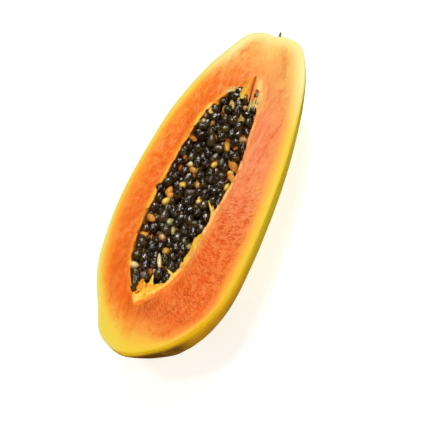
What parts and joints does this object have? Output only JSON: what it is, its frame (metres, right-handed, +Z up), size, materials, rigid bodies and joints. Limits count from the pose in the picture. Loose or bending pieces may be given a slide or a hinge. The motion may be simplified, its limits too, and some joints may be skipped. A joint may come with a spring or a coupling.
{
  "type": "papaya half",
  "caption": "Papaya cut in half lengthwise, lying on its back with the cut face up: yellow-green skin, orange flesh and a long seed cavity full of glossy black seeds.",
  "frame": {"origin": "on the resting surface, under the middle of the fruit's bounding box", "axes": "+X to the stem end, +Y to the side with the thinner flesh wall, +Z up, normal to the cut face"},
  "size_m": [0.2747, 0.1074, 0.0573],
  "materials": {
    "flesh": "moist ripe papaya flesh, orange at the cavity and yellow under the skin",
    "ripe_seed": "black-brown seed in a wet glossy gel coat",
    "pale_seed": "wet undeveloped seed, cream to orange",
    "fibre": "moist torn fruit fibre",
    "stalk": "dry corky stalk"
  },
  "bodies": {
    "root": {"papaya_half": "flesh", "seed_group_01": "ripe_seed", "seed_group_02": "ripe_seed", "seed_group_03": "ripe_seed", "seed_group_04": "ripe_seed", "seed_group_05": "ripe_seed", "seed_group_06": "ripe_seed", "seed_group_07": "ripe_seed", "seed_group_08": "ripe_seed", "seed_group_09": "ripe_seed", "seed_group_10": "ripe_seed", "seed_group_11": "ripe_seed", "seed_group_12": "ripe_seed", "seed_group_13": "ripe_seed", "seed_group_14": "ripe_seed", "seed_group_15": "ripe_seed", "seed_group_16": "ripe_seed", "seed_group_17": "ripe_seed", "seed_group_18": "ripe_seed", "seed_group_19": "ripe_seed", "seed_group_20": "ripe_seed", "seed_group_21": "ripe_seed", "seed_group_22": "ripe_seed", "seed_group_23": "ripe_seed", "seed_group_24": "ripe_seed", "undeveloped_seed_01": "pale_seed", "undeveloped_seed_02": "pale_seed", "undeveloped_seed_03": "pale_seed", "undeveloped_seed_04": "pale_seed", "undeveloped_seed_05": "pale_seed", "undeveloped_seed_06": "pale_seed", "undeveloped_seed_07": "pale_seed", "undeveloped_seed_08": "pale_seed", "undeveloped_seed_09": "pale_seed", "undeveloped_seed_10": "pale_seed", "undeveloped_seed_11": "pale_seed", "undeveloped_seed_12": "pale_seed", "undeveloped_seed_13": "pale_seed", "undeveloped_seed_14": "pale_seed", "undeveloped_seed_15": "pale_seed", "undeveloped_seed_16": "pale_seed", "undeveloped_seed_17": "pale_seed", "undeveloped_seed_18": "pale_seed", "undeveloped_seed_19": "pale_seed", "undeveloped_seed_20": "pale_seed", "undeveloped_seed_21": "pale_seed", "undeveloped_seed_22": "pale_seed", "undeveloped_seed_23": "pale_seed", "undeveloped_seed_24": "pale_seed", "undeveloped_seed_25": "pale_seed", "undeveloped_seed_26": "pale_seed", "rim_seed": "ripe_seed", "flat_seed": "pale_seed", "fibre_flap": "fibre", "stalk_remnant": "stalk"}
  },
  "joints": []
}
